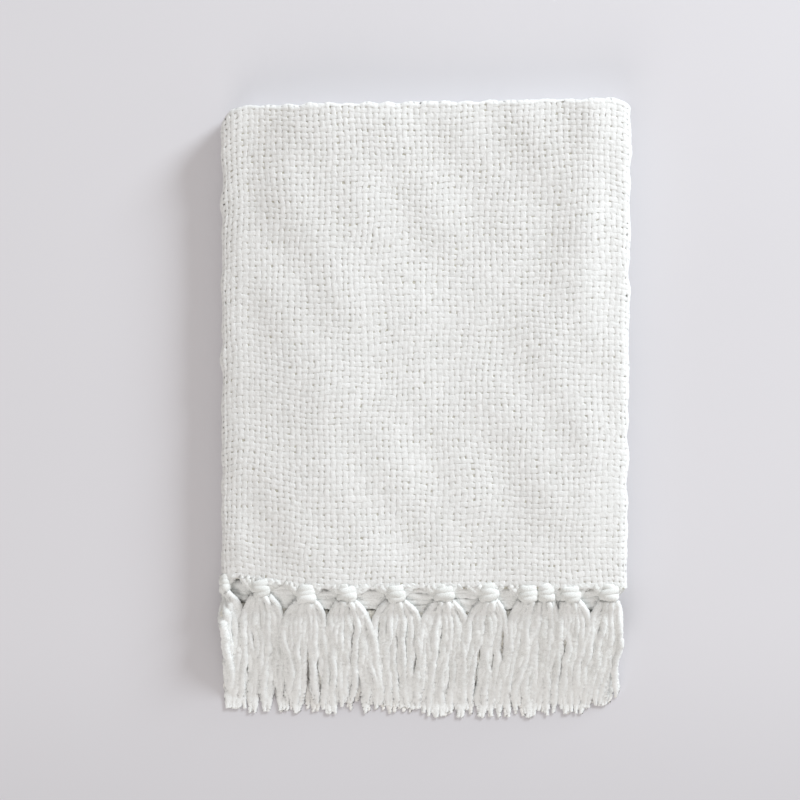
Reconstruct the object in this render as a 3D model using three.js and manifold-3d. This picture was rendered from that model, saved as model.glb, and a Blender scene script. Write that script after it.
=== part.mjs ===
import * as THREE from 'three';
import { mergeVertices } from 'three/addons/utils/BufferGeometryUtils.js';
import Module from 'manifold-3d';

const wasm = await Module();
wasm.setup();

// A boucle throw, folded in thirds along its length and then in thirds across, lying on a flat
// surface with its knotted fringe towards -Y. Millimetres, +Z up, X across the folded stack.

// Cloth and folds
const STACK_WIDTH = 423;
const STACK_LENGTH = 508;
const CLOTH = 4;
const LAYER_AIR = 1;
const BAND_AIR = 1.2;
const NEAR_ROLL_SET_BACK = 4;
const TUCKED_END_SET_BACK = 12;
const FREE_SELVEDGE_SET_BACK = 6.5;

// Fringe
const FRINGE = 127;
const RAGGED = 7;
const KNOT_PITCH = 45.4;
const KNOT_LENGTH = 14;
const KNOT_WIDTH = 20;
const KNOT_HEIGHT = 11;
const KNOT_GAP = 0.3;
const KNOT_DROOP = 1.6;
const STRANDS = 8;
const STRAND_WIDTH = 3.6;
const STRAND_HEIGHT = 3.6;
const STRAND_ROOT_PITCH = 2.05;
const STRAND_STAGGER = 2.2;
const TIP_PITCH = 3.9;
const LEVEL_PITCH = 4.2;
const FRINGE_LEFT = -214;
const FRINGE_RIGHT = 204;
const FRINGE_SWAY = 9;
const SWAY_FROM = -60;
const SWAY_TO = 120;
const SPREAD_POWER = 2.4;
const ROOT_DEPTH = 0.8;

// Where the knots sit along the hem, from left to right. The top row stands as unevenly as it was
// tied, with one thin tassel; the rows that it hides follow at the even pitch, about half a pitch apart,
// and the left roll carries one knot on its side.
const TOP_KNOTS = [-169, -122, -80, -29, 21, 68, 108, 127, 152, 192];
const THIN_KNOT = 7;
const THIN_KNOT_WIDTH = 17;
const MIDDLE_FIRST_KNOT = -149.5;
const MIDDLE_KNOT_COUNT = 8;
const BOTTOM_FIRST_KNOT = -174.5;
const BOTTOM_KNOT_COUNT = 9;
const SIDE_KNOT_ANGLE = 169;
const SIDE_KNOT_INSET = 2.5;
const SIDE_TIPS_RIGHT = -192;

// How the stack has settled: lean and slant of its plan, round far corners, and shares of its neat
// height. The right side leans, so the far end is the wider one. The hem is drawn in at the left. Across,
// the stack rises from the low left roll, is hollow in the middle, and has its crest before the right roll;
// along, it is lowest at the hem and swells at the far roll. Its outermost edges are squarer than the rolls.
const LEAN = 0.009;
const SLANT = 0.0185;
const CORNER_START = 182;
const LEFT_CORNER = 13;
const RIGHT_CORNER = 7;
const HEM_DRAWN_IN = 10;
const DRAWN_FROM = -124.9;
const DRAWN_TO = -189.3;
const HEIGHT_ACROSS = [
  [-212, 1.03],
  [-209, 0.95],
  [-206, 0.865],
  [-203, 0.817],
  [-197, 0.782],
  [-190, 0.783],
  [-176, 0.815],
  [-139, 0.928],
  [-102, 0.985],
  [-70, 0.98],
  [-8, 0.933],
  [35, 0.915],
  [77, 0.93],
  [116, 0.973],
  [147, 0.998],
  [168, 1],
  [190, 0.957],
  [199, 0.942],
  [205, 0.97],
  [209, 1.02],
  [212, 1.06],
];
const HEIGHT_ALONG = [
  [0, 0.92],
  [0.15, 0.94],
  [0.5, 0.935],
  [0.74, 0.925],
  [0.86, 0.955],
  [0.955, 1],
  [0.985, 1],
  [0.994, 1.02],
  [1, 1.05],
];

// Colours
const CLOTH_COLOUR = '#e3e2df';
const FRINGE_COLOUR = '#d9d8d6';
const YARN_ROUGHNESS = 0.95;

// A band is three layers of cloth; the stack is three bands
const LAYER_PITCH = CLOTH + LAYER_AIR;
const BAND = 3 * CLOTH + 2 * LAYER_AIR;
const BAND_PITCH = BAND + BAND_AIR;
const BOTTOM_Z = BAND / 2;
const MIDDLE_Z = BOTTOM_Z + BAND_PITCH;
const TOP_Z = MIDDLE_Z + BAND_PITCH;
const HALF_WIDTH = STACK_WIDTH / 2;

// The left roll wraps the free edge of the middle band, so it is twice as large as the right one
const RIGHT_ROLL = BAND_PITCH / 2;
const LEFT_ROLL = BAND_PITCH;
const RIGHT_ROLL_X = HALF_WIDTH - BAND / 2 - RIGHT_ROLL;
const LEFT_ROLL_X = LEFT_ROLL + BAND / 2 - HALF_WIDTH;
const RIGHT_ROLL_Z = MIDDLE_Z + RIGHT_ROLL;

const HEM_Y = -STACK_LENGTH / 2;
const FAR_ROLL = LAYER_PITCH;
const NEAR_ROLL = LAYER_PITCH / 2;
const FAR_ROLL_Y = STACK_LENGTH / 2 - CLOTH / 2 - FAR_ROLL;
const NEAR_ROLL_Y = HEM_Y + NEAR_ROLL_SET_BACK + CLOTH / 2 + NEAR_ROLL;
const TUCKED_END_Y = FAR_ROLL_Y - TUCKED_END_SET_BACK;
const FREE_SELVEDGE_X = HALF_WIDTH - FREE_SELVEDGE_SET_BACK;

// Each row of a fold table is a straight run or a roll: a circle of the given radius whose centre
// goes from u0 to u1 at height v, followed from angle a0 to a1 in degrees.
const FOLDS_ALONG = [
  { u0: HEM_Y, u1: FAR_ROLL_Y, v: 0, radius: FAR_ROLL, a0: 90, a1: 90, steps: 7 },
  { u0: FAR_ROLL_Y, u1: FAR_ROLL_Y, v: 0, radius: FAR_ROLL, a0: 90, a1: -90, steps: 6 },
  { u0: FAR_ROLL_Y, u1: NEAR_ROLL_Y, v: 0, radius: FAR_ROLL, a0: -90, a1: -90, steps: 7 },
  { u0: NEAR_ROLL_Y, u1: NEAR_ROLL_Y, v: -NEAR_ROLL, radius: NEAR_ROLL, a0: -90, a1: -270, steps: 4 },
  { u0: NEAR_ROLL_Y, u1: TUCKED_END_Y, v: -NEAR_ROLL, radius: NEAR_ROLL, a0: -270, a1: -270, steps: 7 },
];
const FOLDS_ACROSS = [
  { u0: LEFT_ROLL_X, u1: RIGHT_ROLL_X, v: RIGHT_ROLL_Z, radius: RIGHT_ROLL, a0: -90, a1: -90, steps: 12 },
  { u0: RIGHT_ROLL_X, u1: RIGHT_ROLL_X, v: RIGHT_ROLL_Z, radius: RIGHT_ROLL, a0: -90, a1: 90, steps: 6 },
  { u0: RIGHT_ROLL_X, u1: LEFT_ROLL_X, v: RIGHT_ROLL_Z, radius: RIGHT_ROLL, a0: 90, a1: 90, steps: 12 },
  { u0: LEFT_ROLL_X, u1: LEFT_ROLL_X, v: MIDDLE_Z, radius: LEFT_ROLL, a0: 90, a1: 270, steps: 8 },
  { u0: LEFT_ROLL_X, u1: FREE_SELVEDGE_X, v: MIDDLE_Z, radius: LEFT_ROLL, a0: 270, a1: 270, steps: 12 },
];

// Points of a fold table, each with its place (u, v) and the direction (nu, nv) out of the fold
function followFolds(folds) {
  const points = [];
  folds.forEach((fold, index) => {
    for (let step = index === 0 ? 0 : 1; step <= fold.steps; step += 1) {
      const share = step / fold.steps;
      const angle = THREE.MathUtils.degToRad(THREE.MathUtils.lerp(fold.a0, fold.a1, share));
      const nu = Math.cos(angle);
      const nv = Math.sin(angle);
      const u = THREE.MathUtils.lerp(fold.u0, fold.u1, share) + fold.radius * nu;
      points.push({ u, v: fold.v + fold.radius * nv, nu, nv });
    }
  });
  return points;
}

// A smooth curve through a table of places and values
function smoothTable(table, place) {
  const last = table.length - 1;
  const at = THREE.MathUtils.clamp(place, table[0][0], table[last][0]);
  const slope = (i) => {
    const before = table[Math.max(0, i - 1)];
    const after = table[Math.min(last, i + 1)];
    return (after[1] - before[1]) / (after[0] - before[0]);
  };
  let i = 0;
  while (i < last - 1 && table[i + 1][0] <= at) i += 1;
  const [start, from] = table[i];
  const [end, to] = table[i + 1];
  const share = (at - start) / (end - start);
  const rest = 1 - share;
  const bend = (end - start) * share * rest * (slope(i) * rest - slope(i + 1) * share);
  return from * (1 + 2 * share) * rest ** 2 + to * share ** 2 * (1 + 2 * rest) + bend;
}

// Where a point of the neat stack lies once the stack has settled; the underside stays level
function settle(point) {
  const along = (point.y - HEM_Y) / STACK_LENGTH;
  const corner = Math.max(0, Math.abs(point.x) - CORNER_START) / (HALF_WIDTH - CORNER_START);
  const pull = (point.x < 0 ? LEFT_CORNER : RIGHT_CORNER) * corner ** 2;
  const height = smoothTable(HEIGHT_ACROSS, point.x) * smoothTable(HEIGHT_ALONG, along);
  const lean = LEAN * (HEM_Y + (point.y - HEM_Y) * (point.x / STACK_WIDTH + 0.5));
  const x = point.x + lean;
  const drawn = HEM_DRAWN_IN * THREE.MathUtils.clamp((DRAWN_FROM - point.x) / (DRAWN_FROM - DRAWN_TO), 0, 1);
  const y = point.y + (SLANT * point.x - pull) * along + drawn * (1 - along);
  return point.set(x, y, point.z * height);
}

// A closed body through rings of points that all follow the same outline
function loft(rings, outline) {
  const count = outline.length;
  const positions = rings.flat().flatMap((point) => point.toArray());
  const indices = [];
  for (let ring = 0; ring < rings.length - 1; ring += 1) {
    for (let side = 0; side < count; side += 1) {
      const a = ring * count + side;
      const b = ring * count + ((side + 1) % count);
      indices.push(a, b, b + count, a, b + count, a + count);
    }
  }
  const last = (rings.length - 1) * count;
  for (const [a, b, c] of THREE.ShapeUtils.triangulateShape(outline, [])) {
    indices.push(c, b, a, last + a, last + b, last + c);
  }
  const geometry = new THREE.BufferGeometry();
  geometry.setAttribute('position', new THREE.Float32BufferAttribute(positions, 3));
  geometry.setIndex(indices);
  return geometry;
}

function meshOf(name, geometry, colour) {
  geometry.computeVertexNormals();
  const material = new THREE.MeshStandardMaterial({ color: colour, roughness: YARN_ROUGHNESS });
  const mesh = new THREE.Mesh(geometry, material);
  mesh.name = name;
  return mesh;
}

// The cloth: the lengthwise folds give the section of a band, which runs along the crosswise folds
function foldedCloth() {
  const along = followFolds(FOLDS_ALONG);
  const face = (side) => along.map((p) => new THREE.Vector2(p.u + side * p.nu, p.v + side * p.nv));
  const outline = [...face(-CLOTH / 2), ...face(CLOTH / 2).reverse()];
  const rings = followFolds(FOLDS_ACROSS).map((p) =>
    outline.map((q) => settle(new THREE.Vector3(p.u + q.y * p.nu, q.x, p.v + q.y * p.nv))),
  );
  return meshOf('throw', loft(rings.reverse(), outline), CLOTH_COLOUR);
}

// A closed body as a solid that can be joined to others
const SAME_POINT = 1e-4;

function solidOf(geometry) {
  const bare = geometry.clone();
  bare.deleteAttribute('normal');
  bare.deleteAttribute('uv');
  const merged = mergeVertices(bare, SAME_POINT);
  const corners = merged.index.array;
  const kept = [];
  for (let i = 0; i < corners.length; i += 3) {
    const [a, b, c] = corners.slice(i, i + 3);
    if (a !== b && b !== c && c !== a) kept.push(a, b, c);
  }
  const vertProperties = new Float32Array(merged.attributes.position.array);
  return new wasm.Manifold(new wasm.Mesh({ numProp: 3, vertProperties, triVerts: new Uint32Array(kept) }));
}

function geometryOf(solid) {
  const { vertProperties, triVerts } = solid.getMesh();
  const geometry = new THREE.BufferGeometry();
  geometry.setAttribute('position', new THREE.Float32BufferAttribute(vertProperties, 3));
  geometry.setIndex([...triVerts]);
  return geometry;
}

// A knot: a barrel that starts flat against the hem, its width along the hem
const KNOT_PROFILE = [
  { radius: 0, reach: 0 },
  { radius: 0.62, reach: 0 },
  { radius: 1, reach: 0.35 },
  { radius: 0.88, reach: 1 },
  { radius: 0, reach: 1 },
];
const KNOT_SIDES = 8;
const KNOT_AXIS = new THREE.Vector3(0, 1, 0);

function knotGeometry(knot) {
  const profile = KNOT_PROFILE.map((p) => new THREE.Vector2(p.radius, p.reach));
  const geometry = new THREE.LatheGeometry(profile, KNOT_SIDES, Math.PI / KNOT_SIDES);
  geometry.rotateX(Math.PI);
  const flatRadius = Math.cos(Math.PI / KNOT_SIDES);
  geometry.scale(knot.width / 2 / flatRadius, KNOT_LENGTH, KNOT_HEIGHT / 2 / flatRadius);
  geometry.rotateY(knot.turn);
  geometry.translate(knot.place.x, knot.place.y, knot.place.z);
  return geometry;
}

// A strand: a three-sided lock that bulges out of its knot, falls, and lies level to its tip
const STRAND_SECTION = [
  new THREE.Vector2(-STRAND_WIDTH / 2, -STRAND_HEIGHT / 2),
  new THREE.Vector2(STRAND_WIDTH / 2, -STRAND_HEIGHT / 2),
  new THREE.Vector2(0, STRAND_HEIGHT / 2),
];

const ROOT_Y = HEM_Y - KNOT_GAP - KNOT_LENGTH * ROOT_DEPTH;

function strandGeometry(root, tip, fall, steps) {
  const rings = [];
  for (let step = 0; step <= steps; step += 1) {
    const y = THREE.MathUtils.lerp(root.y, tip.y, step / steps);
    const share = THREE.MathUtils.clamp((ROOT_Y - y) / FRINGE, 0, 1);
    const spread = 1 - (1 - share) ** SPREAD_POWER;
    const drop = THREE.MathUtils.smoothstep(share, 0, fall);
    const x = THREE.MathUtils.lerp(root.x, tip.x, spread);
    const z = THREE.MathUtils.lerp(root.z, tip.z, drop);
    rings.push(STRAND_SECTION.map((q) => new THREE.Vector3(x + q.x, y, z + q.y)));
  }
  return loft(rings, STRAND_SECTION);
}

// An uneven number from -1 to 1 that belongs to one strand of one knot
const UNEVEN = { byKnot: 2.3, byStrand: 4.1, byBoth: 0.7 };

function uneven(knot, strand) {
  return Math.sin(UNEVEN.byKnot * knot + UNEVEN.byStrand * strand + UNEVEN.byBoth * knot * strand);
}

// A tassel: its knot with the strands fused into it, their tips shared out between left and right
function tassel(name, number, knot) {
  let solid = solidOf(knotGeometry(knot));
  for (let strand = 0; strand < knot.tips.length; strand += 1) {
    const { x, level } = knot.tips[strand];
    const offset = new THREE.Vector3(
      (strand - (knot.tips.length - 1) / 2) * STRAND_ROOT_PITCH,
      -KNOT_LENGTH * ROOT_DEPTH,
      strand % 2 === 0 ? STRAND_STAGGER : -STRAND_STAGGER,
    );
    const root = offset.applyAxisAngle(KNOT_AXIS, knot.turn).add(knot.place);
    const sway = FRINGE_SWAY * THREE.MathUtils.smoothstep(x, SWAY_FROM, SWAY_TO);
    const tip = new THREE.Vector3(
      x - sway,
      HEM_Y - FRINGE + RAGGED * uneven(number, strand),
      level * LEVEL_PITCH + STRAND_HEIGHT / 2,
    );
    solid = solid.add(solidOf(strandGeometry(root, tip, knot.fall, knot.steps)));
  }
  return meshOf(name, geometryOf(solid), FRINGE_COLOUR);
}

// Places for the tips of one tassel, spread from left to right on one level
function tipsBetween(left, right, level, most) {
  const count = Math.min(most, Math.floor((right - left) / TIP_PITCH));
  return Array.from({ length: count }, (_, i) => ({
    x: THREE.MathUtils.lerp(left, right, (i + 0.5) / count),
    level,
  }));
}

// Rows of knots: the layer of cloth that carries each row and the lowest that its knots may sit. Then, for
// each row, the level on which its strands come to lie and the share of their length over which they fall
const evenKnots = (first, length) => Array.from({ length }, (_, i) => first + i * KNOT_PITCH);
const MIDDLE_KNOTS = evenKnots(MIDDLE_FIRST_KNOT, MIDDLE_KNOT_COUNT);
const BOTTOM_KNOTS = evenKnots(BOTTOM_FIRST_KNOT, BOTTOM_KNOT_COUNT);
const TOP_LOWEST = 28;
const MIDDLE_LOWEST = 14.3;
const BOTTOM_LOWEST = KNOT_HEIGHT / 2;
const ROWS = [
  { name: 'top', knots: TOP_KNOTS, z: TOP_Z, out: 1, lowest: TOP_LOWEST },
  { name: 'middle', knots: MIDDLE_KNOTS, z: MIDDLE_Z, out: -1, lowest: MIDDLE_LOWEST },
  { name: 'bottom', knots: BOTTOM_KNOTS, z: BOTTOM_Z, out: -1, lowest: BOTTOM_LOWEST },
];
const FALLS = [
  { level: 2, fall: 0.85, steps: 5 },
  { level: 1, fall: 0.6, steps: 4 },
  { level: 0, fall: 0.34, steps: 3 },
];

function rowTassels(row, rowNumber) {
  const places = row.knots.map((x) => {
    const place = settle(new THREE.Vector3(x, HEM_Y, row.z + row.out * LAYER_PITCH));
    const hem = settle(new THREE.Vector3(x + KNOT_WIDTH / 3, HEM_Y, row.z));
    return place.set(place.x, hem.y - KNOT_GAP, Math.max(row.lowest, place.z - KNOT_DROOP));
  });
  const { level, fall, steps } = FALLS[rowNumber];
  const leftmost = level === 0 ? FRINGE_LEFT : SIDE_TIPS_RIGHT;
  return places.map((place, i) => {
    const left = i === 0 ? leftmost : (places[i - 1].x + place.x) / 2;
    const right = i === places.length - 1 ? FRINGE_RIGHT : (places[i + 1].x + place.x) / 2;
    const thin = row.knots === TOP_KNOTS && i === THIN_KNOT;
    const tips = tipsBetween(left, right, level, STRANDS);
    const width = thin ? THIN_KNOT_WIDTH : KNOT_WIDTH;
    const knot = { place, width, turn: 0, tips, fall, steps };
    return tassel(`tassel_${row.name}_${i + 1}`, rowNumber * TOP_KNOTS.length + i, knot);
  });
}

// The tassel that the left roll carries on its side. Its knot is turned, so its strands lie on two
// levels, in an order that keeps them from crossing.
const SIDE_TASSEL = { levels: [2, 1], order: [3, 0, 2, 1], fall: 0.95, steps: 5 };

function sideTassel() {
  const angle = THREE.MathUtils.degToRad(SIDE_KNOT_ANGLE);
  const reach = LEFT_ROLL + LAYER_PITCH - SIDE_KNOT_INSET;
  const place = settle(
    new THREE.Vector3(LEFT_ROLL_X + reach * Math.cos(angle), HEM_Y, MIDDLE_Z + reach * Math.sin(angle)),
  );
  place.y -= KNOT_GAP;
  const { levels, order, fall, steps } = SIDE_TASSEL;
  const tips = levels.flatMap((level) => {
    const inOrder = tipsBetween(FRINGE_LEFT, SIDE_TIPS_RIGHT, level, order.length);
    return order.map((i) => inOrder[i]);
  });
  const knot = { place, width: KNOT_WIDTH, turn: Math.PI / 2, tips, fall, steps };
  return tassel('tassel_side', TOP_KNOTS.length * ROWS.length, knot);
}

const folded = new THREE.Group();
folded.add(foldedCloth());
folded.add(...ROWS.flatMap(rowTassels));
folded.add(sideTassel());

// The origin is the middle of the underside of all of it, fringe included
const middle = new THREE.Box3().setFromObject(folded).getCenter(new THREE.Vector3());
folded.position.set(-middle.x, -middle.y, 0);

const boucleThrow = new THREE.Group();
boucleThrow.add(folded);

export default boucleThrow;
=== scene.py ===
# %% [markdown]
# # A folded boucle throw with a knotted fringe
# The throw is one cloth: a plain weave of thick, soft, uneven yarn, folded in thirds along its length
# and again in thirds across, and laid flat. Its warp ends stand out of the hem, gathered into knots,
# and hang on as a fringe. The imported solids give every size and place; this lesson dresses them with
# a thin folded sheet, real interlaced yarns on all that shows, and wound knots with twisted strands.

# %% Load the solids
import bpy
import numpy as np
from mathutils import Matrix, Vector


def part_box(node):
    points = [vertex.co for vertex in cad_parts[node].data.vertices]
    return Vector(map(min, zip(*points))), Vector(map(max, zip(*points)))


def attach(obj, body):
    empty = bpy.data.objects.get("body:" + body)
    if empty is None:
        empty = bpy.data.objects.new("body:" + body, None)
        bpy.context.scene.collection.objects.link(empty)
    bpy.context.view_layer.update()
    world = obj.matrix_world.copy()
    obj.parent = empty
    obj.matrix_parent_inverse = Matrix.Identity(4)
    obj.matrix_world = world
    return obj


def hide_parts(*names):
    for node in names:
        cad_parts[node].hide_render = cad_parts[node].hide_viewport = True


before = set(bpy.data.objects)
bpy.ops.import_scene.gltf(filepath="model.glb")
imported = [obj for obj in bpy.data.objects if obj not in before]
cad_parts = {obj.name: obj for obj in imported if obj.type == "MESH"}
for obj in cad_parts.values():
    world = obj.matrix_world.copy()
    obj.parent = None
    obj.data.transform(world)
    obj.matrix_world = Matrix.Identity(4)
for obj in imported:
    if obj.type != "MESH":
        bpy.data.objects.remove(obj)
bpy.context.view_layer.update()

# %% [markdown]
# ## The stack in its own millimetres
# It is easiest to think of the folded stack in millimetres, with the hem along X. The solids were
# moved so that the middle of their box is the origin, so the shift is read back from the cloth's box:
# its hem lies at -254 mm, and its left roll reaches to -213.8 mm at the hem.

# %% Place of the stack
MM = 0.001
STACK_WIDTH, STACK_LENGTH = 423.0, 508.0
HEM_Y = -STACK_LENGTH / 2
HALF_WIDTH = STACK_WIDTH / 2
LEAN, SLANT = 0.009, 0.0185
LEFT_REACH = -HALF_WIDTH + LEAN * HEM_Y
throw_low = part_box("throw")[0]
SHIFT = np.array([throw_low[0] / MM - LEFT_REACH, throw_low[1] / MM - HEM_Y, 0.0])
print("stack to row frame, mm:", SHIFT.round(3))

# %% [markdown]
# ## Camera
# The throw is seen from straight above. A long lens held high keeps the sides from showing, as in a
# flat-lay picture. One picture point is 1.037 mm at the height of the folded cloth, and the picture
# is 800 points wide, so the width that the lens takes in at that height gives its length.

# %% Camera
IMAGE_SIDE = 800
MM_PER_POINT = 1.037
SIGHT_X, SIGHT_Y = 426, 344
SIGHT_HEIGHT = 35 * MM
CAMERA_RISE = 2.6
SENSOR = 36.0
FARTHEST = 20

middle = np.array([IMAGE_SIDE / 2 - SIGHT_X, SIGHT_Y - IMAGE_SIDE / 2]) * MM_PER_POINT + SHIFT[:2]
bpy.ops.object.select_all(action="DESELECT")
bpy.ops.object.camera_add(location=(*(middle * MM), SIGHT_HEIGHT + CAMERA_RISE), rotation=(0, 0, 0))
camera = bpy.context.object
camera.data.sensor_width = SENSOR
camera.data.lens = SENSOR * CAMERA_RISE / (IMAGE_SIDE * MM_PER_POINT * MM)
camera.data.clip_end = FARTHEST
bpy.context.scene.camera = camera
print("lens, mm:", round(camera.data.lens, 1))

# %% [markdown]
# ## Colours and nodes
# Colours are written as sRGB hex values, as a paint chart has them, and Blender mixes light in linear
# values, so one function turns them. One small function adds a node with its settings and links.

# %% Colour and node helpers
def linear(colour):
    parts = np.array([int(colour[i:i + 2], 16) for i in (1, 3, 5)]) / 255
    low = parts / 12.92
    high = ((parts + 0.055) / 1.055) ** 2.4
    return (*np.where(parts <= 0.04045, low, high), 1.0)


def add_node(tree, kind, inputs=None, **settings):
    node = tree.nodes.new(kind)
    for name, value in settings.items():
        setattr(node, name, value)
    for socket, value in (inputs or {}).items():
        if isinstance(value, bpy.types.NodeSocket):
            tree.links.new(value, node.inputs[socket])
        else:
            node.inputs[socket].default_value = value
    return node


def new_material(name):
    material = bpy.data.materials.new(name)
    material.use_nodes = True
    tree = material.node_tree
    tree.nodes.clear()
    shader = add_node(tree, "ShaderNodeBsdfPrincipled")
    add_node(tree, "ShaderNodeOutputMaterial", {"Surface": shader.outputs["BSDF"]})
    return material, tree, shader


print("middle grey, linear:", round(linear("#808080")[0], 3))

# %% [markdown]
# ## Floor
# The throw lies on a plain, pale, slightly violet grey floor. It is one large plane, and it isn't part
# of the object.

# %% Floor
FLOOR_SIDE = 14.0
FLOOR_DROP = 0.4 * MM
bpy.ops.mesh.primitive_plane_add(size=FLOOR_SIDE, location=(0, 0, -FLOOR_DROP))
floor = bpy.context.object
floor.name = "floor"
print("floor, m across:", FLOOR_SIDE)

# %% [markdown]
# ## Painted board
# A painted board is never quite even, so a very slow noise moves its tone a little. Towards the near
# edge it is a little greyer: that is painted shade, where less light falls. More lamps could do that too, but
# they would change the cloth as well, so the shade is painted into the board's tone.

# %% Painted board finish
# Matt painted board: pale violet grey, no gloss.
CLOUD_SIZE = 0.45
# Painted shade: where the board is greyest and where it starts to turn greyer, in metres along Y
SHADE_FULL_Y, SHADE_START_Y = -0.48, -0.2
board, tree, shader = new_material("matt_painted_board")
place = add_node(tree, "ShaderNodeTexCoord")
cloud = add_node(tree, "ShaderNodeTexNoise", {
    "Vector": place.outputs["Object"], "Scale": 1 / CLOUD_SIZE, "Detail": 2.0})
tone = add_node(tree, "ShaderNodeMix", {
    "Factor": cloud.outputs["Fac"], "A": linear("#dfdee2"), "B": linear("#e3e2e6")}, data_type="RGBA")
split = add_node(tree, "ShaderNodeSeparateXYZ", {"Vector": place.outputs["Object"]})
# Painted shade: the board's tone turns greyer towards the near edge, where less light falls
near = add_node(tree, "ShaderNodeMapRange", {
    "Value": split.outputs["Y"], "From Min": SHADE_FULL_Y, "From Max": SHADE_START_Y},
    interpolation_type="SMOOTHSTEP")
shaded = add_node(tree, "ShaderNodeMix", {
    "Factor": near.outputs["Result"], "A": linear("#d8d7db"), "B": tone.outputs["Result"]}, data_type="RGBA")
tree.links.new(shaded.outputs["Result"], shader.inputs["Base Color"])
shader.inputs["Roughness"].default_value = 0.9
shader.inputs["Specular IOR Level"].default_value = 0.2
floor.data.materials.append(board)
print("floor material:", board.name)

# %% [markdown]
# ## Light
# The shadow falls to the lower left, fades softly over some centimetres and is far from black. So the
# main lamp is low and large, as a window is: its middle is some 19 degrees above the floor, and it takes
# up 22 degrees of the view. A wide, weak reflector on the near side keeps the fringe from going grey, and an
# even sky gives the larger share of the light. Sky and reflector are warm and the window is cool, so the
# shadow, which the window doesn't reach, is warm.

# %% Studio light
WARM, COOL = (1.0, 0.955, 0.928), (0.89, 0.95, 1.0)
# Direction, distance, size across, power and colour
LAMPS = {
    "low_window": ((1.42, 1.42, 0.71), 4.6, 1.76, 216.0, COOL),
    "near_reflector": ((-0.4, -1.38, 0.9), 6.0, 4.0, 82.0, WARM),
}


def add_lamp(name, direction, distance, size, power, colour):
    place = np.array(direction) / np.linalg.norm(direction) * distance
    bpy.ops.object.light_add(type="AREA", location=place)
    lamp = bpy.context.object
    lamp.name = name
    lamp.data.shape = "DISK"
    lamp.data.size = size
    lamp.data.energy = power
    lamp.data.color = colour
    lamp.rotation_mode = "QUATERNION"
    lamp.rotation_quaternion = lamp.location.to_track_quat("Z", "Y")
    return place


for lamp_name, settings in LAMPS.items():
    print(lamp_name, "at", add_lamp(lamp_name, *settings).round(2), "m")

# %% Sky
SKY_STRENGTH = 0.538
world = bpy.data.worlds.new("even_sky")
world.use_nodes = True
sky = world.node_tree.nodes["Background"]
sky.inputs["Color"].default_value = (*WARM, 1.0)
sky.inputs["Strength"].default_value = SKY_STRENGTH
bpy.context.scene.world = world
bpy.context.scene.view_settings.view_transform = "Standard"
print("sky strength:", SKY_STRENGTH)

# %% [markdown]
# ## The folds
# A fold is a straight run or a roll: a circle of some radius whose middle goes from one place to
# another while it turns. The table along the cloth starts at the hem on top, rolls over at the far end,
# comes back underneath, rolls again near the hem and ends tucked between the two. The table across
# starts in the middle of the stack, rolls round on the right, lies on top, rolls down on the left and
# ends at the bottom. These are the solids' own tables, so the dressed cloth lies where the solid does.

# %% Fold tables
LAYER_PITCH = 5.0
BOTTOM_Z, MIDDLE_Z, TOP_Z = 7.0, 22.2, 37.4
RIGHT_ROLL, LEFT_ROLL = 7.6, 15.2
RIGHT_ROLL_X, LEFT_ROLL_X, RIGHT_ROLL_Z = 196.9, -189.3, 29.8
FREE_SELVEDGE_X = 205.0
FAR_ROLL, NEAR_ROLL = 5.0, 2.5
FAR_ROLL_Y, NEAR_ROLL_Y, TUCKED_END_Y = 247.0, -245.5, 235.0

# From place, to place, height, radius, from angle, to angle
FOLDS_ALONG = [
    (HEM_Y, FAR_ROLL_Y, 0, FAR_ROLL, 90, 90),
    (FAR_ROLL_Y, FAR_ROLL_Y, 0, FAR_ROLL, 90, -90),
    (FAR_ROLL_Y, NEAR_ROLL_Y, 0, FAR_ROLL, -90, -90),
    (NEAR_ROLL_Y, NEAR_ROLL_Y, -NEAR_ROLL, NEAR_ROLL, -90, -270),
    (NEAR_ROLL_Y, TUCKED_END_Y, -NEAR_ROLL, NEAR_ROLL, -270, -270),
]
FOLDS_ACROSS = [
    (LEFT_ROLL_X, RIGHT_ROLL_X, RIGHT_ROLL_Z, RIGHT_ROLL, -90, -90),
    (RIGHT_ROLL_X, RIGHT_ROLL_X, RIGHT_ROLL_Z, RIGHT_ROLL, -90, 90),
    (RIGHT_ROLL_X, LEFT_ROLL_X, RIGHT_ROLL_Z, RIGHT_ROLL, 90, 90),
    (LEFT_ROLL_X, LEFT_ROLL_X, MIDDLE_Z, LEFT_ROLL, 90, 270),
    (LEFT_ROLL_X, FREE_SELVEDGE_X, MIDDLE_Z, LEFT_ROLL, 270, 270),
]
print("folds along and across:", len(FOLDS_ALONG), len(FOLDS_ACROSS))

# %% [markdown]
# ## Following the folds
# A place on the cloth is given as on the loom: so far along it and so far across it. Walking that far
# along a table gives the place in the stack and the direction out of the fold. A layer that lies outside
# the table's own line goes a longer way round the rolls, so the lengths can be measured with a lift.

# %% Fold follower
def fold_lengths(folds, lift=0.0):
    u0, u1, _, radius, a0, a1 = np.array(folds, float).T
    return np.abs(u1 - u0) + np.radians(np.abs(a1 - a0)) * (radius + lift)


def follow(folds, reach, lift=0.0):
    """Place and outward direction at a distance along the folds, as measured lift above their line."""
    u0, u1, v, radius, a0, a1 = np.array(folds, float).T
    length = fold_lengths(folds, lift)
    end = np.cumsum(length)
    row = np.minimum(np.searchsorted(end, reach), len(folds) - 1)
    share = 1 + (reach - end[row]) / length[row]
    angle = np.radians(a0[row] + share * (a1 - a0)[row])
    u = u0[row] + share * (u1 - u0)[row] + radius[row] * np.cos(angle)
    return u, v[row] + radius[row] * np.sin(angle), np.cos(angle), np.sin(angle)


FLAT_WIDTH = fold_lengths(FOLDS_ACROSS).sum()

# %% [markdown]
# ## Heights of the stack
# A folded throw is never a neat box. It is low by the left roll, hollow in the middle and highest just
# before the right roll, it is lowest at the hem and it swells at the far fold. These forms are the
# solid's own: two tables of shares of the neat height, with a smooth curve through each.

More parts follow.
